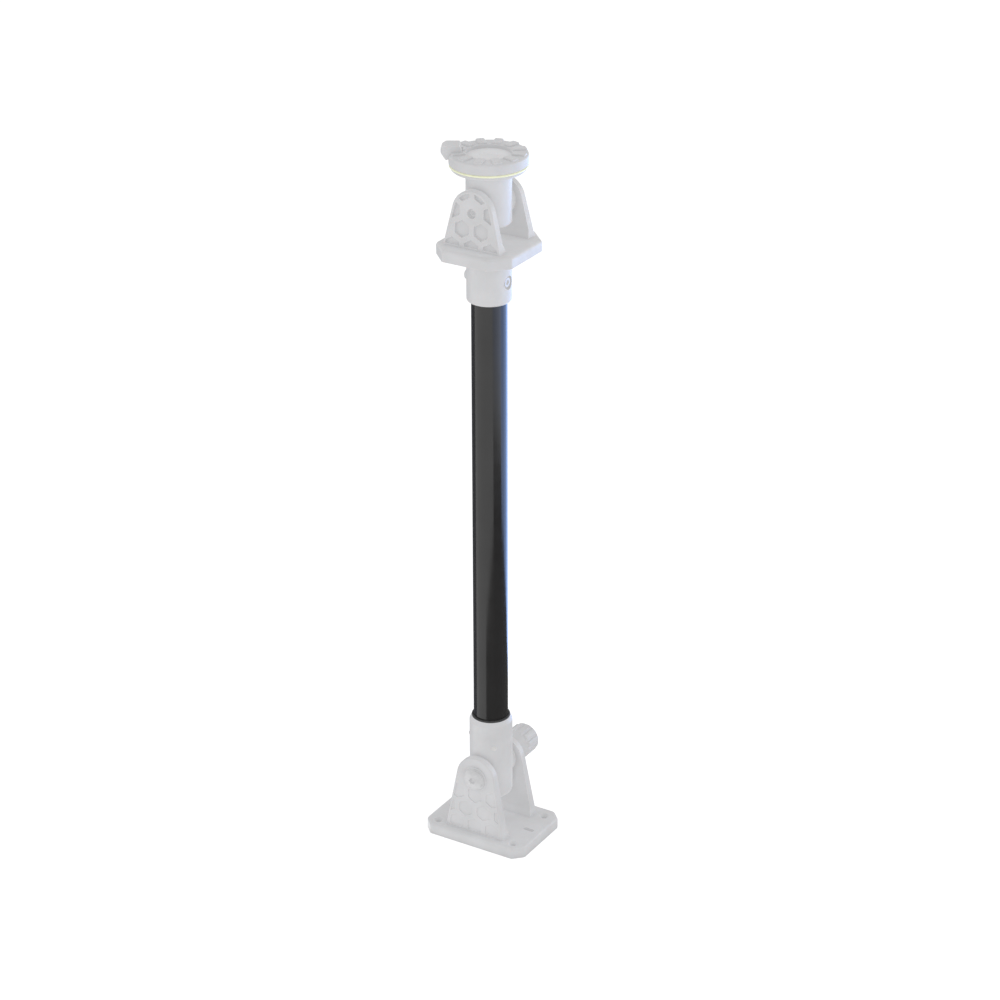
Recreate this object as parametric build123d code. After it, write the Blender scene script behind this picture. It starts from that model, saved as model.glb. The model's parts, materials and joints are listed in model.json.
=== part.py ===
"""Tilting rail post: a straight tube clamped between two pivoting brackets.

The lower bracket screws to a deck or wall and tilts about a clamp bolt with a hand knob.
The upper bracket carries a tilting, rotating mounting head with a lock lever.

Frame: millimetres, +Z up, origin at the centre of the base plate's underside. X runs along the
base plate's long side and both tilt pivots lie along Y.
"""
from build123d import *
from math import acos, atan2, cos, hypot, pi, sin, sqrt
import os

# ---- driving dimensions -------------------------------------------------------------------
TUBE_R = 16.0
TUBE_WALL = 2.0
TUBE_Z0, TUBE_Z1 = 80.0, 583.0
PLUG_LOW_Z1, PLUG_HIGH_Z0 = 112.0, 543.0
FIT = 0.05                     # radial clearance of every turning or sliding fit
PRESS = 0.02                   # clearance of parts that are pressed or bonded in place
THROUGH = 40.0                 # half length of a cut that passes right through

BASE_X, BASE_T = 107.5, 11.3
BASE_FRONT, BASE_BACK = 37.5, 42.0   # the plate's long sides, from the middle plane
BASE_CORNER = 9.0
BASE_SCREW_X, BASE_SCREW_Y = 41.0, 28.5
BASE_SCREW_R = 2.6
BASE_SINK_R, BASE_SINK_H = 4.6, 2.4
BASE_SLOT_LEN, BASE_SLOT_W = 11.5, 4.5
EDGE_ROUND = 3.0
CORE_DEPTH, CORE_FLAT, CORE_PITCH = 6.0, 11.0, 13.5   # hexagonal core-outs under the plate
CORE_REACH_X = 30.0

EAR_IN = 21.5                  # inner face of every ear, from the middle plane
LOWER_PIVOT_Z = 68.5
LOWER_EAR_R = 20.5
LOWER_EAR_FOOT = 31.5          # half width of a lower ear where it meets the plate
LOWER_EAR_OUT, LOWER_EAR_OUT_TOP = 31.0, 27.8
EAR_SINK = 0.5                 # how far the ears' feet run into their plate
SEAT_Y, SEAT_LIP = 29.4, 2.0   # flat seats under the lower bolt's head and the knob
GUSSET_W, GUSSET_H = 3.5, 8.0   # wedge between each ear's inner face and its plate

SOCKET_R = 20.0
SOCKET_Z0, SOCKET_Z1 = 42.0, 124.0
SOCKET_MOUTH_TAPER, SOCKET_MOUTH_H = 1.9, 4.4
SOCKET_BOLT_Z = 98.0
GRUB_R, GRUB_PROUD, GRUB_ANGLE = 2.5, 0.5, -50.0
SEAL_SEAT_R, SEAL_LIP_R = 17.0, 17.8
SEAL_DEPTH, SEAL_LIP_H = 2.0, 1.5
BOSS_R = 14.6
BOSS_OUT = 20.3                # end faces of the pivot bosses, from the middle plane
DISC_R = 14.0

PIVOT_BOLT_R = 4.0
PIVOT_SLEEVE_R = 5.6
PIVOT_BUSH_R, PIVOT_BUSH_LEN = 7.4, 9.0
BOLT_HEAD_R, BOLT_RIM_H, BOLT_HEAD_H = 10.0, 1.4, 3.8
BOLT_HEX, BOLT_HEX_FLOOR = 6.0, 1.2  # key socket: width across flats, and metal left under it
WASHER_T = 1.0

KNOB_R = 14.7
KNOB_Y0, KNOB_Y1 = 29.6, 64.0
KNOB_GRIP_Y = 45.2
KNOB_HUB_R = 9.5
KNOB_FLUTES, KNOB_FLUTE_R = 12, 2.0
KNOB_NUT_FLAT, KNOB_NUT_DEPTH = 13.0, 13.0
KNOB_WASHER_R = 8.6
KNOB_CAP_R, KNOB_CAP_T = 9.0, 2.0

CROSS_BOLT_R = 2.5
CROSS_PIN_X0, CROSS_PIN_X1 = -23.4, 17.4
CLEAR_OF_PIVOT = 15.0          # no honeycomb cell centre lies nearer to the lower pivot than this
UPPER_SOCKET_R = 20.0
UPPER_LUG_OUT, UPPER_NUT_OUT = 22.2, 24.8
UPPER_LUG_R, UPPER_NUT_R = 5.0, 4.4
UPPER_SINK_R, UPPER_SINK_X = 6.3, 16.8
UPPER_HEAD_R, UPPER_HEAD_H = 4.3, 1.8
SMALL_HEX = 4.0                # key sockets of the upper cross bolt and the upper pivot bolt
UPPER_SOCKET_Z = 537.4
UPPER_BOLT_Z = 557.0
PLATE_X, PLATE_Y, PLATE_CORNER = 76.5, 83.0, 16.0
PLATE_Z0, PLATE_Z1 = 581.4, 592.6
PLATE_ROUND = 3.6

UPPER_PIVOT_Z = 625.0
UPPER_EAR_R = 20.2
UPPER_EAR_FOOT = 28.8
UPPER_EAR_OUT, UPPER_EAR_OUT_TOP = 30.0, 27.6
UPPER_PIN_Y0, UPPER_PIN_Y1 = -25.2, 27.4   # both ends of the upper pivot bolt are sunk
UPPER_NUT_FLAT, UPPER_NUT_Y0, UPPER_NUT_T = 13.0, 24.9, 2.3
CELL_PITCH, CELL_FLAT = 19.0, 14.4
LOWER_CELL_DEPTH, UPPER_CELL_DEPTH = 0.6, 2.0
CELL_ROW_Z = 16.45             # height from one row of cells to the next

NECK_R = 20.0
NECK_Z0 = 609.0
FLANGE_R, FLANGE_Z0, FLANGE_Z1 = 32.6, 657.2, 660.2
RING_R, RING_BORE_R, RING_Z1 = 34.2, 23.0, 662.2
CUP_R, CUP_Z0, CUP_Z1 = 34.4, 662.25, 672.3
CUP_RECESS_R, CUP_FLOOR_Z = 20.0, 669.0
TOOTH_COUNT, TOOTH_H, TOOTH_WIDTH = 12, 1.7, 8.0
DETENT_COUNT, DETENT_ORBIT, BALL_R = 12, 14.0, 2.0
BALL_ANGLES = (30.0, 210.0)
BALL_POCKET_Z = 667.6
HUB_R, HUB_SINK_R, HUB_SINK_Z = 21.0, 8.4, 663.4
HUB_CAP_Z0 = 668.1
TURRET_BUSH_R = 6.5

SPINDLE_R, SPINDLE_THREAD_R, SPINDLE_Z0 = 5.0, 3.0, 646.0
SPINDLE_HEAD_R, SPINDLE_HEAD_Z0, SPINDLE_HEAD_Z1 = 7.2, 665.1, 668.0
SPINDLE_HEX = 5.0
INSERT_R, INSERT_Z0 = 5.0, 643.0
LEVER_ANGLE = 211.0            # direction the lock lever points, seen from above
LEVER_TIP, LEVER_WIDTH, LEVER_TOP_Z = 41.0, 15.0, 680.0
LEVER_BACK = 23.8              # inner face of the raised tab, from the turret's axis
LEVER_CROWN = 4.6              # rounding of the raised tab's outer top edge
LEVER_PIN_AT, LEVER_PIN_Z, LEVER_PIN_R = 29.8, 670.2, 1.25
LEVER_NOSE_R0, LEVER_NOSE_R1, LEVER_NOSE_WIDTH = 24.9, 28.4, 7.4
LEVER_UNDER_Z = 668.0
LEVER_SPRING_AT, LEVER_SPRING_R, LEVER_SPRING_Z0 = 32.0, 1.15, 663.6
LEVER_PIN_HALF = 11.5          # half length of the lever pin's hole
SLOT_R0, SLOT_Z0 = 22.2, 666.6

os.makedirs("parts", exist_ok=True)


# ---- shared shapes ------------------------------------------------------------------------
def rod_z(r, z0, z1, x=0.0, y=0.0):
    return Pos(x, y, (z0 + z1) / 2) * Cylinder(r, z1 - z0)


def rod_y(r, y0, y1, x=0.0, z=0.0):
    return Pos(x, (y0 + y1) / 2, z) * Rot(90, 0, 0) * Cylinder(r, y1 - y0)


def rod_x(r, x0, x1, y=0.0, z=0.0):
    return Pos((x0 + x1) / 2, y, z) * Rot(0, 90, 0) * Cylinder(r, x1 - x0)


def hex_prism_z(flat, z0, z1):
    return Pos(0, 0, z0) * extrude(RegularPolygon(flat / sqrt(3), 6), amount=z1 - z0)


def hex_prism_y(flat, y0, y1, z=0.0):
    return Pos(0, y0, z) * Rot(-90, 0, 0) * extrude(RegularPolygon(flat / sqrt(3), 6), amount=y1 - y0)


def hex_prism_x(flat, x0, x1, z=0.0):
    return Pos(x0, 0, z) * Rot(0, 90, 0) * extrude(RegularPolygon(flat / sqrt(3), 6), amount=x1 - x0)


def at_angle(shape, angle):
    return Rot(0, 0, angle) * shape


def both_sides(shape):
    return shape, mirror(shape, about=Plane.XZ)


def coil_z(radius, wire_r, z0, z1, turns, x=0.0, y=0.0):
    """Compression spring standing on z0, with its wire kept inside z0 to z1."""
    height = z1 - z0 - 2 * wire_r
    path = Helix(pitch=height / turns, height=height, radius=radius)
    section = Plane(path @ 0, z_dir=path % 0) * Circle(wire_r)
    return Pos(x, y, z0 + wire_r) * sweep(section, path=path)


def ear_outline(foot, foot_z, pivot_z, top_r, inset=0.0):
    """Tapered ear seen along Y: straight sides that run tangent into a round top."""
    half, low, r = foot - inset, foot_z + inset, top_r - inset
    reach = hypot(half, low - pivot_z)
    touch = atan2(low - pivot_z, half) + acos(r / reach)
    right = (r * cos(touch), pivot_z + r * sin(touch))
    left = (-right[0], right[1])
    outline = [
        Line((-half, low), (half, low)),
        Line((half, low), right),
        ThreePointArc(right, (0, pivot_z + r), left),
        Line(left, (-half, low)),
    ]
    return make_face(outline)


def ear(foot, foot_z, pivot_z, top_r, out_foot, out_top):
    """One ear on the -Y side, its outer face leaning in towards the top, with a wedge inside."""
    top_z = pivot_z + top_r
    outline = ear_outline(foot, foot_z, pivot_z, top_r)
    blank = extrude(Plane.XZ.offset(EAR_IN) * outline, amount=out_foot - EAR_IN)
    lean = make_face(Polyline((-out_foot, foot_z), (-out_foot - 1, foot_z), (-out_foot - 1, top_z),
                              (-out_top, top_z), (-out_foot, foot_z)))
    blank -= extrude(Plane.YZ * lean, amount=foot + 1, both=True)
    outer = blank.faces().sort_by(Axis.Y)[0]
    rim = [e for e in outer.edges() if e.center().Z > foot_z + 1]
    wedge = make_face(Polyline((-EAR_IN, foot_z), (GUSSET_W - EAR_IN, foot_z),
                               (-EAR_IN, foot_z + GUSSET_H), (-EAR_IN, foot_z)))
    wedge = extrude(Plane.YZ * wedge, amount=foot, both=True)
    wedge = wedge & extrude(Plane.XZ.offset(EAR_IN - GUSSET_W) * outline, amount=GUSSET_W)
    return fillet(rim, 1.4) + wedge


def honeycomb(foot, foot_z, pivot_z, top_r, out_foot, out_top, rows, depth):
    """Shallow hexagonal pockets for an ear's outer face on the -Y side."""
    top_z = pivot_z + top_r
    lean = atan2(out_foot - out_top, top_z - foot_z)
    face = Plane((0, -out_foot, foot_z), x_dir=(1, 0, 0), z_dir=(0, -cos(lean), sin(lean)))
    stretch = 1 / cos(lean)
    window = Pos(0, -foot_z) * ear_outline(foot, foot_z, pivot_z, top_r, inset=2.4)
    cells = Sketch()
    for row, height in enumerate(rows):
        shift = 0.0 if row % 2 == 0 else CELL_PITCH / 2
        for column in range(-2, 3):
            x = column * CELL_PITCH + shift
            cell = RegularPolygon(CELL_FLAT / sqrt(3), 6, rotation=90)
            cells += Pos(x, (height - foot_z) * stretch) * cell
    cells = cells & window
    pockets = []
    for cell in cells.faces():
        if cell.area > 12.0:
            pockets.append(extrude(face * cell, amount=-depth, taper=16))
    return pockets


def plate(length, width, z0, z1, corner, edge_round, corner_round):
    """Flat plate with cut and softened corners and a rounded upper edge."""
    outline = Rectangle(length, width)
    outline = chamfer(outline.vertices(), corner)
    outline = fillet(outline.vertices(), corner_round)
    body = Pos(0, 0, z0) * extrude(outline, amount=z1 - z0)
    return fillet(body.faces().sort_by(Axis.Z)[-1].edges(), edge_round)


# ---- lower bracket, fixed to the deck -------------------------------------------------------
def base_bracket():
    body = plate(BASE_X, BASE_FRONT + BASE_BACK, 0, BASE_T, BASE_CORNER, EDGE_ROUND, 5.0)
    body = Pos(0, (BASE_BACK - BASE_FRONT) / 2, 0) * body
    foot_z = BASE_T - EAR_SINK
    shape = (LOWER_EAR_FOOT, foot_z, LOWER_PIVOT_Z, LOWER_EAR_R, LOWER_EAR_OUT, LOWER_EAR_OUT_TOP)
    body += both_sides(ear(*shape))
    rows = [LOWER_PIVOT_Z - 1.0 + CELL_ROW_Z * step for step in (-3, -2, -1, 0, 1)]
    for cell in honeycomb(*shape, rows, LOWER_CELL_DEPTH):
        centre = cell.center()
        if hypot(centre.X, centre.Z - LOWER_PIVOT_Z) > CLEAR_OF_PIVOT:
            body -= both_sides(cell)
    body += both_sides(rod_y(BOLT_HEAD_R + SEAT_LIP, -SEAT_Y, -EAR_IN - 1, z=LOWER_PIVOT_Z))
    body -= rod_y(PIVOT_BOLT_R + FIT, -THROUGH, THROUGH, z=LOWER_PIVOT_Z)
    for x in (-BASE_SCREW_X, BASE_SCREW_X):
        for y in (-BASE_SCREW_Y, BASE_SCREW_Y):
            body -= rod_z(BASE_SCREW_R, -1, BASE_T + 1, x, y)
            body -= Pos(x, y, BASE_T - BASE_SINK_H / 2 + 0.05) * Cone(BASE_SCREW_R, BASE_SINK_R, BASE_SINK_H)
        slot = SlotOverall(BASE_SLOT_LEN, BASE_SLOT_W)
        body -= Pos(x, 0, -1) * extrude(slot, amount=BASE_T + 2)
    for pocket in underside_pockets():
        body -= pocket
    return body


def underside_pockets():
    """Core-outs under the plate that leave a honeycomb of ribs."""
    pockets = []
    for row in range(-2, 3):
        shift = 0.0 if row % 2 == 0 else CORE_PITCH / 2
        for column in range(-2, 3):
            x = column * CORE_PITCH + shift
            if abs(x) < CORE_REACH_X:
                cell = RegularPolygon(CORE_FLAT / sqrt(3), 6, rotation=90)
                pockets.append(Pos(x, row * CORE_PITCH * sqrt(3) / 2, 0) * extrude(cell, amount=CORE_DEPTH))
    return pockets


def lower_pivot_bolt():
    """Low domed flange head in front, smooth shank, threaded end inside the knob."""
    seat = -SEAT_Y - WASHER_T
    head = Pos(0, seat, LOWER_PIVOT_Z) * Rot(90, 0, 0) * dome(BOLT_HEAD_R, BOLT_RIM_H, BOLT_HEAD_H)
    bolt = head + rod_y(PIVOT_BOLT_R, seat - 0.5, KNOB_Y1 - 5, z=LOWER_PIVOT_Z)
    bolt -= hex_prism_y(BOLT_HEX, seat - BOLT_HEAD_H - 1, seat - BOLT_HEX_FLOOR, z=LOWER_PIVOT_Z)
    return chamfer(bolt.edges().sort_by(Axis.Y)[-1], 0.7)


def dome(r, rim, height):
    """Domed disc on the XY plane: straight rim, then a spherical cap up to height."""
    centre = (height**2 - rim**2 - r**2) / (2 * (height - rim))
    crown = centre + sqrt((height - centre) ** 2 - (r / 2) ** 2)
    outline = [
        Line((0, 0), (r, 0)),
        Line((r, 0), (r, rim)),
        ThreePointArc((r, rim), (r / 2, crown), (0, height)),
        Line((0, height), (0, 0)),
    ]
    return revolve(Plane.XZ * make_face(outline), Axis.Z)


def lower_head_washer():
    ring = rod_y(BOLT_HEAD_R + SEAT_LIP / 3, -SEAT_Y - WASHER_T, -SEAT_Y, z=LOWER_PIVOT_Z)
    return ring - rod_y(PIVOT_BOLT_R + FIT, -THROUGH, 0, z=LOWER_PIVOT_Z)


def pivot_sleeve(z):
    sleeve = rod_y(PIVOT_SLEEVE_R, -EAR_IN, EAR_IN, z=z)
    return sleeve - rod_y(PIVOT_BOLT_R + FIT, -THROUGH, THROUGH, z=z)


def friction_discs(z):
    """Two thin discs between the bosses and the ears."""
    disc = rod_y(DISC_R, -EAR_IN, -BOSS_OUT - FIT, z=z)
    disc -= rod_y(PIVOT_SLEEVE_R + FIT, -THROUGH, 0, z=z)
    return Compound(children=list(both_sides(disc)))


def bush_seats(z):
    return both_sides(rod_y(PIVOT_BUSH_R, -BOSS_OUT - 1, -BOSS_OUT + PIVOT_BUSH_LEN, z=z))


def pivot_bushes(z):
    """Two plain bushes pressed into the bosses, running on the sleeve."""
    bush = rod_y(PIVOT_BUSH_R, -BOSS_OUT, -BOSS_OUT + PIVOT_BUSH_LEN, z=z)
    bush -= rod_y(PIVOT_SLEEVE_R + FIT, -THROUGH, 0, z=z)
    return Compound(children=list(both_sides(bush)))


# ---- hand knob on the rear end of the lower pivot bolt --------------------------------------
def knob_washer():
    ring = rod_y(KNOB_WASHER_R, SEAT_Y + PRESS, KNOB_Y0 + 0.9, z=LOWER_PIVOT_Z)
    return ring - rod_y(PIVOT_BOLT_R + FIT, 0, KNOB_Y1, z=LOWER_PIVOT_Z)


def knob():
    """Fluted grip on a tapering hub."""
    foot = KNOB_Y0 + 1.0
    outline = [
        Line((0, foot), (KNOB_HUB_R - 1.2, foot)),
        Line((KNOB_HUB_R - 1.2, foot), (KNOB_HUB_R, foot + 6)),
        Line((KNOB_HUB_R, foot + 6), (KNOB_R - 1.5, KNOB_GRIP_Y)),
        Line((KNOB_R - 1.5, KNOB_GRIP_Y), (KNOB_R, KNOB_GRIP_Y + 1.5)),
        Line((KNOB_R, KNOB_GRIP_Y + 1.5), (KNOB_R, KNOB_Y1 - 2.5)),
        ThreePointArc((KNOB_R, KNOB_Y1 - 2.5), (KNOB_R - 0.75, KNOB_Y1 - 0.75), (KNOB_R - 2.5, KNOB_Y1)),
        Line((KNOB_R - 2.5, KNOB_Y1), (0, KNOB_Y1)),
        Line((0, KNOB_Y1), (0, foot)),
    ]
    grip = revolve(make_face(outline), Axis.Y)
    orbit = KNOB_R + 0.7
    for step in range(KNOB_FLUTES):
        turn = 2 * pi * step / KNOB_FLUTES
        grip -= rod_y(KNOB_FLUTE_R, KNOB_GRIP_Y - 8, KNOB_Y1 + 1, orbit * cos(turn), orbit * sin(turn))
    grip = Pos(0, 0, LOWER_PIVOT_Z) * grip
    grip -= hex_prism_y(KNOB_NUT_FLAT, KNOB_Y0, KNOB_Y0 + KNOB_NUT_DEPTH, z=LOWER_PIVOT_Z)
    grip -= rod_y(PIVOT_BOLT_R + 0.4, KNOB_Y0, KNOB_Y1 - 4, z=LOWER_PIVOT_Z)
    return grip - rod_y(KNOB_CAP_R, KNOB_Y1 - KNOB_CAP_T, KNOB_Y1 + 1, z=LOWER_PIVOT_Z)


def knob_insert():
    nut = hex_prism_y(KNOB_NUT_FLAT - 0.1, KNOB_Y0 + 1, KNOB_Y0 + KNOB_NUT_DEPTH - 0.1, z=LOWER_PIVOT_Z)
    return nut - rod_y(PIVOT_BOLT_R + FIT, 0, KNOB_Y1, z=LOWER_PIVOT_Z)


def knob_cap():
    """Round cap that closes the knob's end."""
    disc = dome(KNOB_CAP_R - 0.1, KNOB_CAP_T / 2, KNOB_CAP_T - 0.05)
    return Pos(0, KNOB_Y1 - KNOB_CAP_T + 0.03, LOWER_PIVOT_Z) * Rot(-90, 0, 0) * disc


# ---- post: socket, tube and upper bracket ----------------------------------------------------
def lower_socket():
    """Tube socket with a rounded foot, a tapering mouth and two bored pivot bosses."""
    body = rod_z(SOCKET_R, SOCKET_Z0, SOCKET_Z1 - SOCKET_MOUTH_H)
    body = fillet(body.edges().sort_by(Axis.Z)[0], 6.0)
    mouth = Cone(SOCKET_R, SOCKET_R - SOCKET_MOUTH_TAPER, SOCKET_MOUTH_H)
    body += Pos(0, 0, SOCKET_Z1 - SOCKET_MOUTH_H / 2) * mouth
    body += rod_y(BOSS_R, -BOSS_OUT, BOSS_OUT, z=LOWER_PIVOT_Z)
    body -= rod_z(TUBE_R + FIT, TUBE_Z0, SOCKET_Z1 + 1)
    body -= rod_z(SEAL_SEAT_R, SOCKET_Z1 - SEAL_DEPTH, SOCKET_Z1 + 1)
    body -= rod_y(PIVOT_SLEEVE_R + 0.4, -THROUGH, THROUGH, z=LOWER_PIVOT_Z)
    body -= bush_seats(LOWER_PIVOT_Z)
    body -= rod_x(CROSS_BOLT_R + FIT, -THROUGH, CROSS_PIN_X1 + FIT, z=SOCKET_BOLT_Z)
    body -= grub_screw_body(0.0)
    return body


def mouth_seal():
    """Soft wiper ring seated in the socket's mouth, with a lip that stands on its rim."""
    seat_z = SOCKET_Z1 - SEAL_DEPTH
    lip = rod_z(SEAL_LIP_R, SOCKET_Z1 + PRESS, SOCKET_Z1 + SEAL_LIP_H)
    lip = fillet(lip.edges().sort_by(Axis.Z)[-1], 0.7)
    ring = lip + rod_z(SEAL_SEAT_R - PRESS, seat_z + PRESS, SOCKET_Z1 + 0.1)
    return ring - rod_z(TUBE_R + FIT, seat_z - 1, SOCKET_Z1 + SEAL_LIP_H + 1)


def grub_screw_body(shrink):
    """Screw body whose axis points GRUB_ANGLE round from +X."""
    screw = rod_x(GRUB_R - shrink, TUBE_R + FIT, SOCKET_R + GRUB_PROUD, z=SOCKET_BOLT_Z)
    return at_angle(screw, GRUB_ANGLE)


def grub_screw():
    """Screw with a rounded end that stands a little proud of the socket."""
    screw = grub_screw_body(PRESS)
    outermost = Vector(cos(GRUB_ANGLE * pi / 180), sin(GRUB_ANGLE * pi / 180), 0)
    rim = max(screw.edges().filter_by(GeomType.CIRCLE), key=lambda e: e.arc_center.dot(outermost))
    return fillet(rim, 0.6)


def lower_cross_pin():
    """Blind pin through the socket and the tube, with its rounded end out on the -X side."""
    pin = rod_x(CROSS_BOLT_R, CROSS_PIN_X0, CROSS_PIN_X1, z=SOCKET_BOLT_Z)
    return fillet(pin.edges().sort_by(Axis.X)[0], 1.2)


def upper_cross_bolt():
    """Cap screw right through the socket and the tube, its head deep in the +X side."""
    bolt = rod_x(CROSS_BOLT_R, -UPPER_NUT_OUT + 1.4, UPPER_SINK_X + 0.5, z=UPPER_BOLT_Z)
    bolt += rod_x(UPPER_HEAD_R, UPPER_SINK_X + PRESS, UPPER_SINK_X + UPPER_HEAD_H, z=UPPER_BOLT_Z)
    return bolt - hex_prism_x(SMALL_HEX, UPPER_SINK_X + 0.6, UPPER_SINK_X + 3, z=UPPER_BOLT_Z)


def upper_cross_nut():
    """Domed cap nut on the lug."""
    length = UPPER_NUT_OUT - UPPER_LUG_OUT
    nut = Rot(0, -90, 0) * dome(UPPER_NUT_R, 0.6, length)
    nut = Pos(-UPPER_LUG_OUT - PRESS, 0, UPPER_BOLT_Z) * nut
    return nut - rod_x(CROSS_BOLT_R + PRESS, -UPPER_NUT_OUT + 1.38, 0, z=UPPER_BOLT_Z)


def tube():
    shape = rod_z(TUBE_R, TUBE_Z0, TUBE_Z1) - rod_z(TUBE_R - TUBE_WALL, TUBE_Z0 - 1, TUBE_Z1 + 1)
    ends = shape.edges().filter_by(GeomType.CIRCLE)
    shape = chamfer(ends, 0.4)
    for z in (SOCKET_BOLT_Z, UPPER_BOLT_Z):
        shape -= rod_x(CROSS_BOLT_R + FIT, -THROUGH, THROUGH, z=z)
    return shape


def tube_end_plugs():
    """Solid plugs that stop the cross bolts from crushing the tube."""
    plugs = []
    for z0, z1, bolt_z in ((TUBE_Z0, PLUG_LOW_Z1, SOCKET_BOLT_Z), (PLUG_HIGH_Z0, TUBE_Z1, UPPER_BOLT_Z)):
        plug = rod_z(TUBE_R - TUBE_WALL - PRESS, z0 + 0.2, z1 - 0.2)
        plug = chamfer(plug.edges().filter_by(GeomType.CIRCLE), 0.8)
        plugs.append(plug - rod_x(CROSS_BOLT_R + FIT, -THROUGH, THROUGH, z=bolt_z))
    return Compound(children=plugs)


def upper_bracket():
    body = plate(PLATE_X, PLATE_Y, PLATE_Z0, PLATE_Z1, PLATE_CORNER, PLATE_ROUND, 2.5)
    socket = rod_z(UPPER_SOCKET_R, UPPER_SOCKET_Z, PLATE_Z0 + 1)
    body += fillet(socket.edges().sort_by(Axis.Z)[0], 2.2)
    lug = rod_x(UPPER_LUG_R, -UPPER_LUG_OUT, 0, z=UPPER_BOLT_Z)
    body += fillet(lug.edges().sort_by(Axis.X)[0], 0.5)
    foot_z = PLATE_Z1 - EAR_SINK
    shape = (UPPER_EAR_FOOT, foot_z, UPPER_PIVOT_Z, UPPER_EAR_R, UPPER_EAR_OUT, UPPER_EAR_OUT_TOP)
    body += both_sides(ear(*shape))
    rows = [UPPER_PIVOT_Z + 1.5 + CELL_ROW_Z * step for step in (-2, -1, 0, 1)]
    for cell in honeycomb(*shape, rows, UPPER_CELL_DEPTH):
        if abs(cell.center().X) > 4 or cell.center().Z < UPPER_PIVOT_Z - 8:
            body -= both_sides(cell)
    body -= rod_z(TUBE_R + FIT, UPPER_SOCKET_Z - 1, TUBE_Z1 + 0.1)
    body -= rod_x(CROSS_BOLT_R + FIT, -THROUGH, THROUGH, z=UPPER_BOLT_Z)
    body -= rod_x(UPPER_SINK_R, UPPER_SINK_X, THROUGH, z=UPPER_BOLT_Z)
    body -= rod_y(PIVOT_BOLT_R + FIT, -THROUGH, THROUGH, z=UPPER_PIVOT_Z)
    body -= rod_y(PIVOT_BOLT_R + 0.5, -THROUGH, UPPER_PIN_Y0 - 0.3, z=UPPER_PIVOT_Z)
    return body - hex_prism_y(UPPER_NUT_FLAT + 0.1, UPPER_NUT_Y0, THROUGH, z=UPPER_PIVOT_Z)


def upper_pivot_bolt():
    """Headless bolt with a key socket, sunk in the front ear, with its nut in the rear ear."""
    bolt = rod_y(PIVOT_BOLT_R, UPPER_PIN_Y0, UPPER_PIN_Y1, z=UPPER_PIVOT_Z)
    bolt = chamfer(bolt.edges().filter_by(GeomType.CIRCLE), 0.6)
    return bolt - hex_prism_y(SMALL_HEX, UPPER_PIN_Y0 - 1, UPPER_PIN_Y0 + 3, z=UPPER_PIVOT_Z)


def upper_pivot_nut():
    nut = hex_prism_y(UPPER_NUT_FLAT, UPPER_NUT_Y0 + PRESS, UPPER_NUT_Y0 + UPPER_NUT_T, z=UPPER_PIVOT_Z)
    return nut - rod_y(PIVOT_BOLT_R + PRESS, 0, THROUGH, z=UPPER_PIVOT_Z)


# ---- tilting neck ---------------------------------------------------------------------------
def head_neck():
    """Round neck with pivot bosses and a wide flange for the turret to turn on."""
    body = rod_z(NECK_R, NECK_Z0, FLANGE_Z0 + 0.5)
    body = chamfer(body.edges().sort_by(Axis.Z)[0], 1.6)
    body += rod_y(BOSS_R, -BOSS_OUT, BOSS_OUT, z=UPPER_PIVOT_Z)
    flange = rod_z(FLANGE_R, FLANGE_Z0, FLANGE_Z1)
    body += chamfer(flange.edges().sort_by(Axis.Z)[0], 1.0)
    body -= rod_y(PIVOT_SLEEVE_R + 0.4, -THROUGH, THROUGH, z=UPPER_PIVOT_Z)
    body -= bush_seats(UPPER_PIVOT_Z)
    body -= rod_z(INSERT_R, INSERT_Z0, FLANGE_Z1 + 1)
    for step in range(DETENT_COUNT):
        turn = 2 * pi * step / DETENT_COUNT
        body -= Pos(DETENT_ORBIT * cos(turn), DETENT_ORBIT * sin(turn), FLANGE_Z1 + 1.3) * Sphere(2.2)
    return body


def neck_insert():
    """Threaded metal insert for the spindle screw."""
    insert = rod_z(INSERT_R - PRESS, INSERT_Z0 + 0.1, FLANGE_Z1 - 0.2)
    return insert - rod_z(SPINDLE_THREAD_R + PRESS, INSERT_Z0 - 1, FLANGE_Z1 + 1)


def friction_ring():
    """Pale ring between the flange and the turret."""
    ring = rod_z(RING_R, FLANGE_Z1 + 0.01, RING_Z1)
    ring = fillet(ring.edges(), 0.9)
    return ring - rod_z(RING_BORE_R, FLANGE_Z1 - 1, RING_Z1 + 1)


def head_spindle():
    """Shoulder screw: the turret turns on its shoulder and its head holds the turret down."""
    screw = rod_z(SPINDLE_THREAD_R, SPINDLE_Z0, FLANGE_Z1)
    screw += rod_z(SPINDLE_R, FLANGE_Z1 - 0.18, SPINDLE_HEAD_Z0)
    head = rod_z(SPINDLE_HEAD_R, SPINDLE_HEAD_Z0, SPINDLE_HEAD_Z1)
    screw += chamfer(head.edges().sort_by(Axis.Z)[-1], 0.6)
    return screw - hex_prism_z(SPINDLE_HEX, SPINDLE_HEAD_Z1 - 2.2, SPINDLE_HEAD_Z1 + 1)


def spindle_washers():
    """Flat washer and wave washer under the spindle head."""
    rings = []
    middle = (HUB_SINK_Z + SPINDLE_HEAD_Z0) / 2
    for z0, z1, r in ((HUB_SINK_Z, middle, 8.0), (middle, SPINDLE_HEAD_Z0, 7.6)):
        rings.append(rod_z(r, z0 + FIT, z1) - rod_z(SPINDLE_R + FIT, z0 - 1, z1 + 1))
    return Compound(children=rings)


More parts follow.
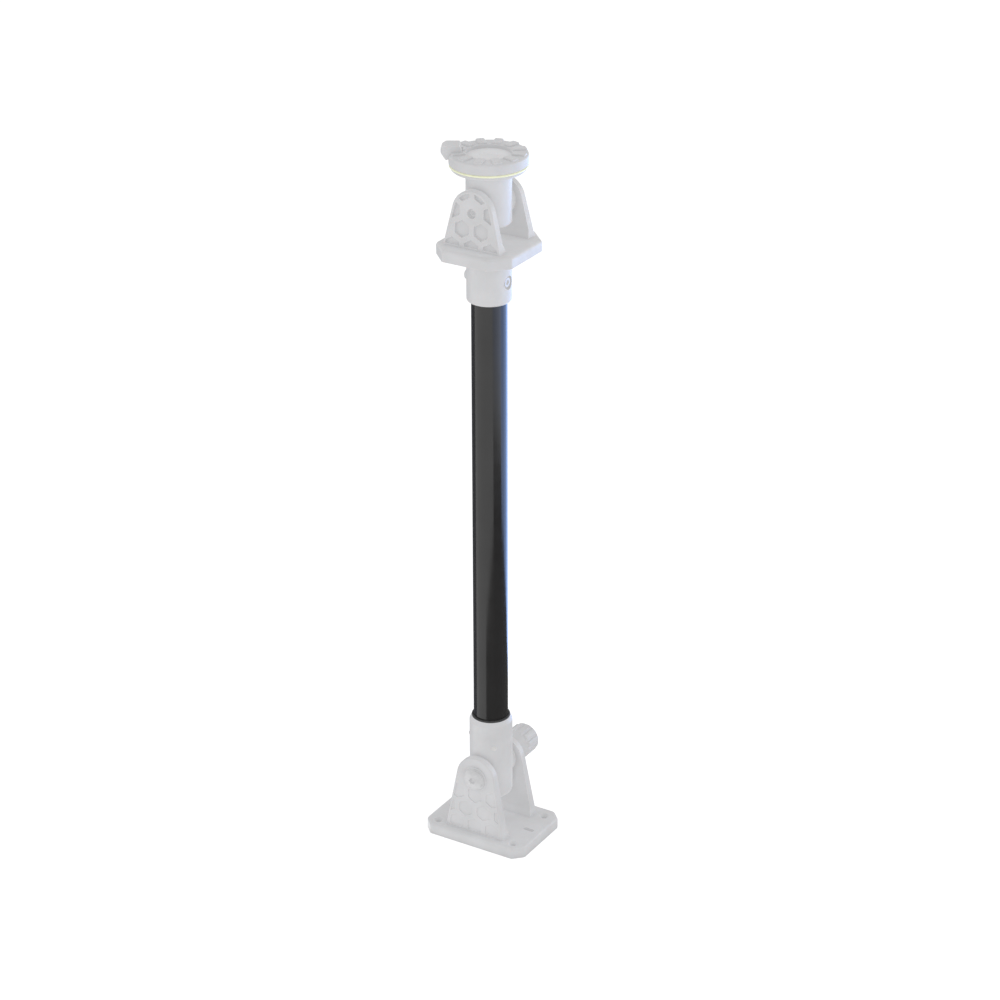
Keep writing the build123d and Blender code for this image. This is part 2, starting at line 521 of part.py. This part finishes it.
# ---- rotating turret ------------------------------------------------------------------------
def turret_cup():
    """Round wall with low radial teeth on its rim and a slot for the lock lever."""
    body = rod_z(CUP_R, CUP_Z0, CUP_Z1)
    body = chamfer(body.edges().sort_by(Axis.Z)[0], 0.8)
    body = fillet(body.edges().sort_by(Axis.Z)[-1], 2.0)
    tooth_r0, tooth_r1 = CUP_RECESS_R + 1.0, CUP_R - 1.2
    tooth = Pos((tooth_r0 + tooth_r1) / 2, 0, CUP_Z1 + TOOTH_H / 2 - 0.5)
    tooth = tooth * Box(tooth_r1 - tooth_r0, TOOTH_WIDTH, TOOTH_H + 1.0)
    tooth = fillet(tooth.edges().filter_by(Axis.Z), 1.5)
    tooth = chamfer(tooth.faces().sort_by(Axis.Z)[-1].edges(), 0.7)
    for step in range(TOOTH_COUNT):
        body += at_angle(tooth, 15 + 360 / TOOTH_COUNT * step)
    body -= rod_z(CUP_RECESS_R, CUP_Z0 - 1, CUP_Z1 + 5)
    body -= rod_z(HUB_R, CUP_Z0 - 1, CUP_FLOOR_Z)
    return body - at_angle(lever_slot(), LEVER_ANGLE)


def turret_hub():
    """Pale disc that closes the cup's recess from below and carries the detent balls."""
    body = rod_z(HUB_R - PRESS, FLANGE_Z1 + FIT, CUP_FLOOR_Z)
    body += rod_z(RING_BORE_R - FIT, FLANGE_Z1 + FIT, CUP_Z0)
    body -= rod_z(HUB_SINK_R, HUB_SINK_Z, CUP_FLOOR_Z + 1)
    body -= rod_z(TURRET_BUSH_R, FLANGE_Z1 - 1, CUP_FLOOR_Z)
    for angle in BALL_ANGLES:
        body -= at_angle(rod_z(BALL_R + FIT, FLANGE_Z1 - 1, BALL_POCKET_Z, DETENT_ORBIT, 0), angle)
    return body


def lever_slot():
    """Slot, window and spring pocket for the lever, pointing along +X."""
    length, height = 30.0, 16.0
    slot = Pos(SLOT_R0 + length / 2, 0, SLOT_Z0 + height / 2) * Box(length, LEVER_WIDTH + 0.6, height)
    window_r0, window_r1 = LEVER_NOSE_R0 - 1.9, LEVER_NOSE_R1 + 0.6
    window = Box(window_r1 - window_r0, LEVER_NOSE_WIDTH + 0.6, height)
    window = Pos((window_r0 + window_r1) / 2, 0, SLOT_Z0) * window
    pin = rod_y(LEVER_PIN_R, -LEVER_PIN_HALF, LEVER_PIN_HALF, LEVER_PIN_AT, LEVER_PIN_Z)
    spring = rod_z(LEVER_SPRING_R + 0.5, LEVER_SPRING_Z0, SLOT_Z0 + 1, LEVER_SPRING_AT)
    return slot + window + pin + spring


def hub_cap():
    """Thin disc that covers the spindle's head, flush with the hub."""
    cap = rod_z(HUB_SINK_R - PRESS, HUB_CAP_Z0, CUP_FLOOR_Z)
    return chamfer(cap.edges().sort_by(Axis.Z)[-1], 0.25)


def turret_bush():
    bush = rod_z(TURRET_BUSH_R - PRESS, FLANGE_Z1 + 0.1, HUB_SINK_Z)
    return bush - rod_z(SPINDLE_R + FIT, FLANGE_Z1, HUB_SINK_Z + 1)


def detent_balls():
    ball = Pos(DETENT_ORBIT, 0, FLANGE_Z1 + BALL_R + 0.05) * Sphere(BALL_R)
    return Compound(children=[at_angle(ball, angle) for angle in BALL_ANGLES])


def detent_springs():
    z0 = FLANGE_Z1 + 2 * BALL_R + 0.1
    spring = coil_z(1.45, 0.28, z0, BALL_POCKET_Z - 0.05, 4, x=DETENT_ORBIT)
    return Compound(children=[at_angle(spring, angle) for angle in BALL_ANGLES])


def lock_lever():
    """Rocking tab: its nose presses on the friction ring and the tab outside lifts it."""
    under, top, heel = LEVER_UNDER_Z, LEVER_TOP_Z, SLOT_R0 + 0.8
    heel_top = CUP_Z1 + TOOTH_H - 0.4
    outline = Polyline((heel, under), (CUP_R + 0.2, under), (CUP_R + 2, under - 0.8),
                       (LEVER_TIP, under + 4.8), (LEVER_TIP, top - LEVER_CROWN),
                       (LEVER_TIP - LEVER_CROWN * 0.3, top - LEVER_CROWN * 0.3),
                       (LEVER_TIP - LEVER_CROWN, top), (LEVER_BACK + 1.2, top), (LEVER_BACK, top - 1.2),
                       (LEVER_BACK - 0.6, heel_top), (heel, heel_top), (heel, under))
    plan = RectangleRounded(2 * LEVER_TIP, LEVER_WIDTH, 6.4)
    tab = extrude(Plane.XZ * make_face(outline), amount=LEVER_WIDTH / 2, both=True)
    tab = tab & (Pos(0, 0, FLANGE_Z1) * extrude(plan, amount=30))
    nose_z = RING_Z1 + 0.15
    nose = Box(LEVER_NOSE_R1 - LEVER_NOSE_R0, LEVER_NOSE_WIDTH, under + 1 - nose_z)
    tab += Pos((LEVER_NOSE_R0 + LEVER_NOSE_R1) / 2, 0, (under + 1 + nose_z) / 2) * nose
    tab -= rod_y(LEVER_PIN_R + FIT, -20, 20, LEVER_PIN_AT, LEVER_PIN_Z)
    return at_angle(tab, LEVER_ANGLE)


def lever_spring():
    z0, z1 = LEVER_SPRING_Z0 + 0.02, LEVER_UNDER_Z - 0.03
    spring = coil_z(LEVER_SPRING_R, 0.25, z0, z1, 4, x=LEVER_SPRING_AT)
    return at_angle(spring, LEVER_ANGLE)


def lever_pin():
    half = LEVER_PIN_HALF - 0.1
    return at_angle(rod_y(LEVER_PIN_R, -half, half, LEVER_PIN_AT, LEVER_PIN_Z), LEVER_ANGLE)


PARTS = {
    "base_bracket": base_bracket,
    "lower_pivot_bolt": lower_pivot_bolt,
    "lower_head_washer": lower_head_washer,
    "lower_pivot_sleeve": lambda: pivot_sleeve(LOWER_PIVOT_Z),
    "lower_friction_discs": lambda: friction_discs(LOWER_PIVOT_Z),
    "knob_washer": knob_washer,
    "knob": knob,
    "knob_insert": knob_insert,
    "knob_cap": knob_cap,
    "lower_socket": lower_socket,
    "lower_pivot_bushes": lambda: pivot_bushes(LOWER_PIVOT_Z),
    "grub_screw": grub_screw,
    "lower_cross_pin": lower_cross_pin,
    "mouth_seal": mouth_seal,
    "tube": tube,
    "tube_end_plugs": tube_end_plugs,
    "upper_bracket": upper_bracket,
    "upper_cross_bolt": upper_cross_bolt,
    "upper_cross_nut": upper_cross_nut,
    "upper_pivot_bolt": upper_pivot_bolt,
    "upper_pivot_nut": upper_pivot_nut,
    "upper_pivot_sleeve": lambda: pivot_sleeve(UPPER_PIVOT_Z),
    "upper_friction_discs": lambda: friction_discs(UPPER_PIVOT_Z),
    "head_neck": head_neck,
    "upper_pivot_bushes": lambda: pivot_bushes(UPPER_PIVOT_Z),
    "neck_insert": neck_insert,
    "friction_ring": friction_ring,
    "head_spindle": head_spindle,
    "spindle_washers": spindle_washers,
    "turret_cup": turret_cup,
    "turret_hub": turret_hub,
    "hub_cap": hub_cap,
    "turret_bush": turret_bush,
    "detent_balls": detent_balls,
    "detent_springs": detent_springs,
    "lock_lever": lock_lever,
    "lever_pin": lever_pin,
    "lever_spring": lever_spring,
}

for name, make in PARTS.items():
    export_step(make(), f"parts/{name}.step")
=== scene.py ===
"""Tilting rail post: surfaces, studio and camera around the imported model. Metres, +Z up."""
import json
from math import cos, radians, sin

import bpy
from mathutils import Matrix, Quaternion, Vector

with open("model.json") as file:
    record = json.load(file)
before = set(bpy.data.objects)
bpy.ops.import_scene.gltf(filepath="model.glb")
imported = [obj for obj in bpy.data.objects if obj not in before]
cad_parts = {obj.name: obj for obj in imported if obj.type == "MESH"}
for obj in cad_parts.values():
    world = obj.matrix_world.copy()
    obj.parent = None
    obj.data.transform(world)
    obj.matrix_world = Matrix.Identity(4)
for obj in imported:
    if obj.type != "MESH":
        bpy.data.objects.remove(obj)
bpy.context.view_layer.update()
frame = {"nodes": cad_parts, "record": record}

MM = 0.001
LIFT = 1.45                     # painted glow of the pale fittings, lifting their shade, in shares of their colour

VIEW_TURN = radians(31.3)       # how far the camera is turned round from the -Y side
RIGHT = Vector((cos(VIEW_TURN), sin(VIEW_TURN), 0))
AHEAD = Vector((-sin(VIEW_TURN), cos(VIEW_TURN), 0))
UP = Vector((0, 0, 1))


# ---- node helpers ----------------------------------------------------------------------------
class Shader:
    """A material's node tree, with short calls for the nodes that the surfaces share."""

    def __init__(self, name):
        self.material = bpy.data.materials.new(name)
        self.material.use_nodes = True
        self.tree = self.material.node_tree
        self.tree.nodes.clear()
        self.surface = self.add("ShaderNodeBsdfPrincipled")
        out = self.add("ShaderNodeOutputMaterial")
        self.link(self.surface.outputs["BSDF"], out.inputs["Surface"])
        self.place = self.add("ShaderNodeTexCoord").outputs["Object"]

    def add(self, kind, **settings):
        node = self.tree.nodes.new(kind)
        for key, value in settings.items():
            setattr(node, key, value)
        return node

    def link(self, output, socket):
        self.tree.links.new(output, socket)

    def feed(self, socket, value):
        if isinstance(value, bpy.types.NodeSocket):
            self.link(value, socket)
        else:
            socket.default_value = value

    def set(self, **values):
        for key, value in values.items():
            self.feed(self.surface.inputs[key.replace("_", " ")], value)

    def stretched(self, x=1.0, y=1.0, z=1.0):
        mapping = self.add("ShaderNodeMapping")
        mapping.inputs["Scale"].default_value = (x, y, z)
        self.link(self.place, mapping.inputs["Vector"])
        return mapping.outputs["Vector"]

    def noise(self, size, detail=2.0, roughness=0.5, at=None):
        """Noise whose lumps are about `size` metres across."""
        node = self.add("ShaderNodeTexNoise")
        self.link(at or self.place, node.inputs["Vector"])
        node.inputs["Scale"].default_value = 1 / size
        node.inputs["Detail"].default_value = detail
        node.inputs["Roughness"].default_value = roughness
        return node.outputs["Fac"]

    def specks(self, size, at=None):
        node = self.add("ShaderNodeTexVoronoi")
        self.link(at or self.place, node.inputs["Vector"])
        node.inputs["Scale"].default_value = 1 / size
        return node.outputs["Distance"]

    def ramp(self, value, low, high, out_low=0.0, out_high=1.0):
        node = self.add("ShaderNodeMapRange")
        self.link(value, node.inputs["Value"])
        node.inputs["From Min"].default_value = low
        node.inputs["From Max"].default_value = high
        node.inputs["To Min"].default_value = out_low
        node.inputs["To Max"].default_value = out_high
        return node.outputs["Result"]

    def maths(self, operation, a, b=0.0):
        node = self.add("ShaderNodeMath", operation=operation)
        self.feed(node.inputs[0], a)
        self.feed(node.inputs[1], b)
        return node.outputs["Value"]

    def mix(self, amount, a, b):
        node = self.add("ShaderNodeMix", data_type="RGBA")
        self.feed(node.inputs["Factor"], amount)
        self.feed(node.inputs["A"], a)
        self.feed(node.inputs["B"], b)
        return node.outputs["Result"]

    def edges(self, radius):
        """0 on flat surfaces, rising towards 1 on convex and concave edges."""
        bevel = self.add("ShaderNodeBevel", samples=6)
        bevel.inputs["Radius"].default_value = radius
        face = self.add("ShaderNodeNewGeometry")
        dot = self.add("ShaderNodeVectorMath", operation="DOT_PRODUCT")
        self.link(bevel.outputs["Normal"], dot.inputs[0])
        self.link(face.outputs["Normal"], dot.inputs[1])
        return self.ramp(dot.outputs["Value"], 0.995, 0.8)

    def cavities(self, distance):
        """0 in the open, rising towards 1 deep in corners."""
        node = self.add("ShaderNodeAmbientOcclusion", samples=6)
        node.inputs["Distance"].default_value = distance
        return self.ramp(node.outputs["AO"], 0.98, 0.5)

    def bump(self, *layers, soften=0.35 * MM):
        """Stacks (height, depth in metres) layers on a normal that rounds the hard edges."""
        bevel = self.add("ShaderNodeBevel", samples=6)
        bevel.inputs["Radius"].default_value = soften
        normal = bevel.outputs["Normal"]
        for height, depth in layers:
            node = self.add("ShaderNodeBump")
            node.inputs["Strength"].default_value = 1.0
            node.inputs["Distance"].default_value = depth
            self.link(height, node.inputs["Height"])
            self.link(normal, node.inputs["Normal"])
            normal = node.outputs["Normal"]
        self.link(normal, self.surface.inputs["Normal"])


def grey(value, blue=0.0):
    return (value, value, value + blue, 1.0)


# ---- surfaces --------------------------------------------------------------------------------
def moulded_plastic(name, tone, grain=0.55 * MM):
    """Light spark-textured moulding, rubbed paler on its edges, with painted shade darkening its
    corners.
    """
    s = Shader(name)
    flow = s.noise(26 * MM, detail=3.0)
    body = s.mix(s.ramp(flow, 0.35, 0.65), grey(tone * 0.955, 0.004), grey(tone * 1.03, 0.006))
    specks = s.ramp(s.noise(0.35 * MM, detail=1.0), 0.62, 0.75, 0.0, 0.16)
    body = s.mix(specks, body, grey(tone * 0.62))
    broken = s.ramp(s.noise(3.5 * MM, detail=3.0), 0.35, 0.6)
    rubbed = s.maths("MULTIPLY", s.edges(0.7 * MM), broken)
    body = s.mix(s.maths("MULTIPLY", rubbed, 0.55), body, grey(min(tone * 1.5, 0.95), 0.004))
    uneven = s.ramp(s.noise(6 * MM, detail=4.0), 0.3, 0.7, 0.6, 1.0)
    # painted shade: corners darkened through an occlusion mask broken up by noise; this shade also
    # dims the glow below
    corner_shade = s.maths("MULTIPLY", s.cavities(6 * MM), uneven)
    shade_colour = (tone * 0.52, tone * 0.52, tone * 0.53, 1.0)
    body = s.mix(s.maths("MULTIPLY", corner_shade, 0.35), body, shade_colour)
    rough = s.ramp(s.noise(9 * MM, detail=4.0), 0.3, 0.7, 0.33, 0.43)
    s.set(Base_Color=body, Roughness=s.maths("SUBTRACT", rough, s.maths("MULTIPLY", rubbed, 0.08)))
    s.set(Specular_IOR_Level=0.5, Subsurface_Weight=0.15, Subsurface_Scale=1.5 * MM)
    # painted glow: the surface glows at LIFT times its colour, which lifts its shade
    s.set(Emission_Color=body, Emission_Strength=LIFT)
    s.bump((s.noise(grain, detail=2.0), 0.030 * MM), (s.noise(7 * MM, detail=1.0), 0.10 * MM))
    return s.material


def ring_plastic():
    """Pale yellow self-lubricating ring with a fine turned lay and a little grey rub dust."""
    s = Shader("ring_yellow")
    mottle = s.ramp(s.noise(5 * MM, detail=3.0), 0.3, 0.7)
    body = s.mix(mottle, (0.86, 0.88, 0.62, 1), (0.93, 0.95, 0.70, 1))
    dust = s.ramp(s.noise(2.2 * MM, detail=5.0, at=s.stretched(1, 1, 5)), 0.58, 0.74, 0.0, 0.35)
    body = s.mix(dust, body, (0.62, 0.62, 0.52, 1))
    body = s.mix(s.maths("MULTIPLY", s.edges(0.5 * MM), 0.35), body, (0.95, 0.96, 0.80, 1))
    s.set(Base_Color=body, Roughness=s.ramp(mottle, 0.0, 1.0, 0.34, 0.46), Specular_IOR_Level=0.45)
    lay = s.noise(0.45 * MM, detail=2.0, at=s.stretched(0.06, 0.06, 1))
    s.bump((lay, 0.02 * MM), (s.noise(0.6 * MM), 0.012 * MM), soften=0.3 * MM)
    return s.material


def tube_coat():
    """Glossy black coat with orange peel, faint rub marks along the tube and dust in the gloss."""
    s = Shader("tube_black")
    cloud = s.ramp(s.noise(45 * MM, detail=3.0), 0.3, 0.7)
    body = s.mix(cloud, (0.018, 0.0175, 0.0175, 1), (0.024, 0.0235, 0.0235, 1))
    along = s.stretched(1, 1, 0.02)
    marks = s.ramp(s.noise(0.5 * MM, detail=2.0, at=along), 0.70, 0.80)
    patch = s.ramp(s.noise(60 * MM, detail=2.0), 0.52, 0.68)
    marks = s.maths("MULTIPLY", marks, patch)
    dust = s.ramp(s.specks(1.6 * MM), 0.10, 0.02, 0.0, 0.5)
    body = s.mix(s.maths("MULTIPLY", dust, 0.35), body, grey(0.16))
    rough = s.ramp(s.noise(14 * MM, detail=4.0), 0.3, 0.7, 0.13, 0.20)
    rough = s.maths("ADD", rough, s.maths("MULTIPLY", marks, 0.18))
    s.set(Base_Color=body, Roughness=rough, Specular_IOR_Level=0.5)
    s.bump((s.noise(1.8 * MM, detail=1.0), 0.010 * MM), (marks, 0.004 * MM), soften=0.3 * MM)
    return s.material


def nylon():
    s = Shader("nylon")
    haze = s.ramp(s.noise(4 * MM, detail=3.0), 0.3, 0.7)
    body = s.mix(haze, (0.24, 0.24, 0.238, 1), (0.27, 0.27, 0.268, 1))
    # painted glow: the nylon glows at LIFT times its colour, which lifts its shade
    s.set(Base_Color=body, Emission_Color=body, Emission_Strength=LIFT)
    s.set(Roughness=s.ramp(haze, 0, 1, 0.35, 0.5), Subsurface_Weight=0.1, Subsurface_Scale=0.5 * MM)
    s.bump((s.noise(0.5 * MM), 0.01 * MM))
    return s.material


def metal(name, tint, lay, rough=0.28, dulled=0.0, lift=0.0):
    """Turned metal with a fine lay stretched along `lay`, and finger-dulled patches. `dulled` is
    how much of it shows as a matt plated skin, and `lift` its painted glow."""
    s = Shader(name)
    lines = s.noise(0.22 * MM, detail=2.0, at=s.stretched(*lay))
    patch = s.ramp(s.noise(5 * MM, detail=4.0), 0.3, 0.7)
    dark = tuple(c * 0.82 for c in tint[:3]) + (1,)
    body = s.mix(patch, dark, tint)
    # painted glow: the metal glows at `lift` times its colour, which lifts its shade
    s.set(Base_Color=body, Metallic=1.0 - dulled, Emission_Color=body, Emission_Strength=lift)
    across = s.ramp(lines, 0.3, 0.7, -0.04, 0.05)
    s.set(Roughness=s.maths("ADD", s.ramp(patch, 0, 1, rough, rough + 0.12), across))
    s.bump((lines, 0.006 * MM), soften=0.25 * MM)
    return s.material


def rubber():
    """Dull black rubber with a fine bloom."""
    s = Shader("rubber")
    bloom = s.ramp(s.noise(1.5 * MM, detail=4.0), 0.35, 0.7)
    s.set(Base_Color=s.mix(bloom, grey(0.035), grey(0.075)))
    s.set(Roughness=s.ramp(bloom, 0, 1, 0.55, 0.75))
    s.bump((s.noise(0.3 * MM), 0.012 * MM), soften=0.2 * MM)
    return s.material


def lightbox_surface(name, tone, glow):
    """Pale floor that is lit a little from below, so that it stays white out to the horizon."""
    s = Shader(name)
    mottle = s.ramp(s.noise(300 * MM, detail=3.0), 0.3, 0.7)
    s.set(Base_Color=s.mix(mottle, grey(tone), grey(tone * 0.985)))
    s.set(Roughness=0.9, Specular_IOR_Level=0.0)
    s.set(Emission_Color=grey(1.0), Emission_Strength=glow)
    return s.material


SURFACES = {
    "moulded_grey": moulded_plastic("moulded_grey", 0.25),
    # painted shade: knob_grey is the moulded grey made a little darker for the turret cup and
    # lever, standing in for the shade they sit in
    "knob_grey": moulded_plastic("knob_grey", 0.24, grain=0.4 * MM),
    # painted light: hub_pale is the moulded grey made a little paler for the hub in the turret
    # recess, standing in for the light falling on it
    "hub_pale": moulded_plastic("hub_pale", 0.28, grain=0.4 * MM),
    "ring_yellow": ring_plastic(),
    "tube_black": tube_coat(),
    "nylon": nylon(),
    # stainless: mostly a matt plated skin, with a painted glow of lift 1.0
    "stainless": metal("stainless", (0.34, 0.34, 0.345, 1), (1, 0.1, 1), rough=0.38,
                       dulled=0.7, lift=1.0),
    "rubber": rubber(),
    "brass": metal("brass", (0.72, 0.55, 0.27, 1), (1, 1, 0.1)),
}


def dress_nodes():
    """Gives each node the surface of the slot that the record names for it."""
    for entry in frame["record"]["subparts"]:
        mesh = frame["nodes"][entry["node"]].data
        mesh.materials.clear()
        mesh.materials.append(SURFACES[entry["material_slot"]])


# ---- studio ----------------------------------------------------------------------------------
FLOOR_REACH = 30.0              # from the post to each side of the floor
FLOOR_TONE, FLOOR_GLOW = 0.80, 0.56
WORLD_GLOW = 0.62
MIDDLE = Vector((0, 0, 0.35))   # what the lights aim at, half way up the post

CARD_LIFT = 1.0 * MM            # how high the reflectors lie above the floor
CARD_STEPS = 24
FOOT = (0.05, 0.05)             # near radii of the cards that start at the base plate
WIDE = (3.0, 3.0)               # far radii of the cards that run on out of sight
DUSK = (0.9, 0.85, 0.85)


def floor():
    far = FLOOR_REACH
    mesh = bpy.data.meshes.new("floor")
    corners = [(-far, -far, 0), (far, -far, 0), (far, far, 0), (-far, far, 0)]
    mesh.from_pydata(corners, [], [(0, 1, 2, 3)])
    plane = bpy.data.objects.new("floor", mesh)
    mesh.materials.append(lightbox_surface("floor", FLOOR_TONE, FLOOR_GLOW))
    bpy.context.scene.collection.objects.link(plane)


def area_light(name, place, size, power, colour=(1, 1, 1)):
    """Soft light aimed at the post, unseen by the camera. Its place is given from MIDDLE, as metres
    to the camera's right, away from the camera and up."""
    data = bpy.data.lights.new(name, "AREA")
    data.shape = "RECTANGLE"
    data.size, data.size_y = size
    data.energy = power
    data.color = colour
    lamp = bpy.data.objects.new(name, data)
    bpy.context.scene.collection.objects.link(lamp)
    lamp.location = MIDDLE + RIGHT * place[0] + AHEAD * place[1] + UP * place[2]
    lamp.rotation_euler = (MIDDLE - lamp.location).to_track_quat("-Z", "Y").to_euler()
    lamp.visible_camera = False


def between(pair, part):
    return pair[0] + (pair[1] - pair[0]) * part


def reflector(name, start, end, near, far, colour, glow):
    """Flat sector on the floor that only shows in reflections. Its angles, in degrees, run from the
    direction towards the camera round to the camera's right; its near and far radii and its glow
    are pairs, for the start and the end."""
    points, glows = [], []
    for step in range(CARD_STEPS + 1):
        part = step / CARD_STEPS
        turn = radians(between((start, end), part))
        way = RIGHT * sin(turn) - AHEAD * cos(turn)
        points += [way * between(near, part), way * between(far, part)]
        glows += [between(glow, part)] * 2
    faces = [(2 * i, 2 * i + 1, 2 * i + 3, 2 * i + 2) for i in range(CARD_STEPS)]
    mesh = bpy.data.meshes.new(name)
    mesh.from_pydata([(x, y, CARD_LIFT) for x, y, _ in points], [], faces)
    mesh.attributes.new("glow", "FLOAT", "POINT").data.foreach_set("value", glows)
    card = bpy.data.objects.new(name, mesh)
    s = Shader(name)
    s.set(Base_Color=grey(0.0), Roughness=1.0, Specular_IOR_Level=0.0)
    s.set(Emission_Color=(*colour, 1))
    s.set(Emission_Strength=s.add("ShaderNodeAttribute", attribute_name="glow").outputs["Fac"])
    mesh.materials.append(s.material)
    bpy.context.scene.collection.objects.link(card)
    card.visible_camera = card.visible_diffuse = card.visible_shadow = False
    card.visible_transmission = card.visible_volume_scatter = False


def world_light(strength):
    """Even white surroundings of the given strength, which look full white to the camera."""
    world = bpy.data.worlds.new("studio")
    bpy.context.scene.world = world
    world.use_nodes = True
    nodes, links = world.node_tree.nodes, world.node_tree.links
    shown = nodes.new("ShaderNodeMapRange")
    shown.inputs["To Min"].default_value = strength
    shown.inputs["To Max"].default_value = 1.0
    links.new(nodes.new("ShaderNodeLightPath").outputs["Is Camera Ray"], shown.inputs["Value"])
    back = nodes["Background"]
    back.inputs["Color"].default_value = (1, 1, 1, 1)
    links.new(shown.outputs["Result"], back.inputs["Strength"])


# ---- camera ----------------------------------------------------------------------------------
VIEW_DOWN = radians(25.43)
VIEW_ROLL = radians(-0.14)
VIEW_BACK, VIEW_HEIGHT, VIEW_SIDE = 2.4341, 1.5014, 0.0089
LENS, SENSOR = 108.0, 36.0      # in mm
CLIP_START, CLIP_END = 0.05, 100.0


def camera():
    data = bpy.data.cameras.new("camera")
    data.lens, data.sensor_width = LENS, SENSOR
    data.clip_start, data.clip_end = CLIP_START, CLIP_END
    eye = bpy.data.objects.new("camera", data)
    bpy.context.scene.collection.objects.link(eye)
    eye.location = RIGHT * VIEW_SIDE - AHEAD * VIEW_BACK + UP * VIEW_HEIGHT
    look = AHEAD * cos(VIEW_DOWN) - UP * sin(VIEW_DOWN)
    eye.rotation_euler = (look.to_track_quat("-Z", "Y") @ Quaternion(UP, VIEW_ROLL)).to_euler()
    bpy.context.scene.camera = eye


dress_nodes()
camera()
floor()
world_light(WORLD_GLOW)
reflector("dark_card", -30, 22, FOOT, (0.42, 0.66), DUSK, (0.12, 0.12))
reflector("dark_side_card", 22, 78, FOOT, (0.97, 0.88), DUSK, (0.10, 0.10))
reflector("dark_far_card", 78, 160, FOOT, (0.70, 0.30), DUSK, (0.12, 0.12))
reflector("haze_card", 20, 78, (1.20, 1.00), WIDE, (0.62, 0.72, 1.0), (1.1, 2.6))
reflector("blue_card", 78, 160, (0.70, 0.30), WIDE, (0.36, 0.54, 1.0), (2.9, 4.0))
reflector("left_card", -180, -105, FOOT, WIDE, (0.8, 0.85, 1.0), (0.15, 0.15))
area_light("key", (1.6, -1.2, 1.6), (1.4, 1.4), 9)
area_light("fill", (-2.0, -0.8, 0.9), (1.6, 1.6), 5)
area_light("cool", (1.75, 0.62, 0.25), (0.3, 1.3), 4, (0.80, 0.84, 1.0))

bpy.context.scene.view_settings.view_transform = "Standard"
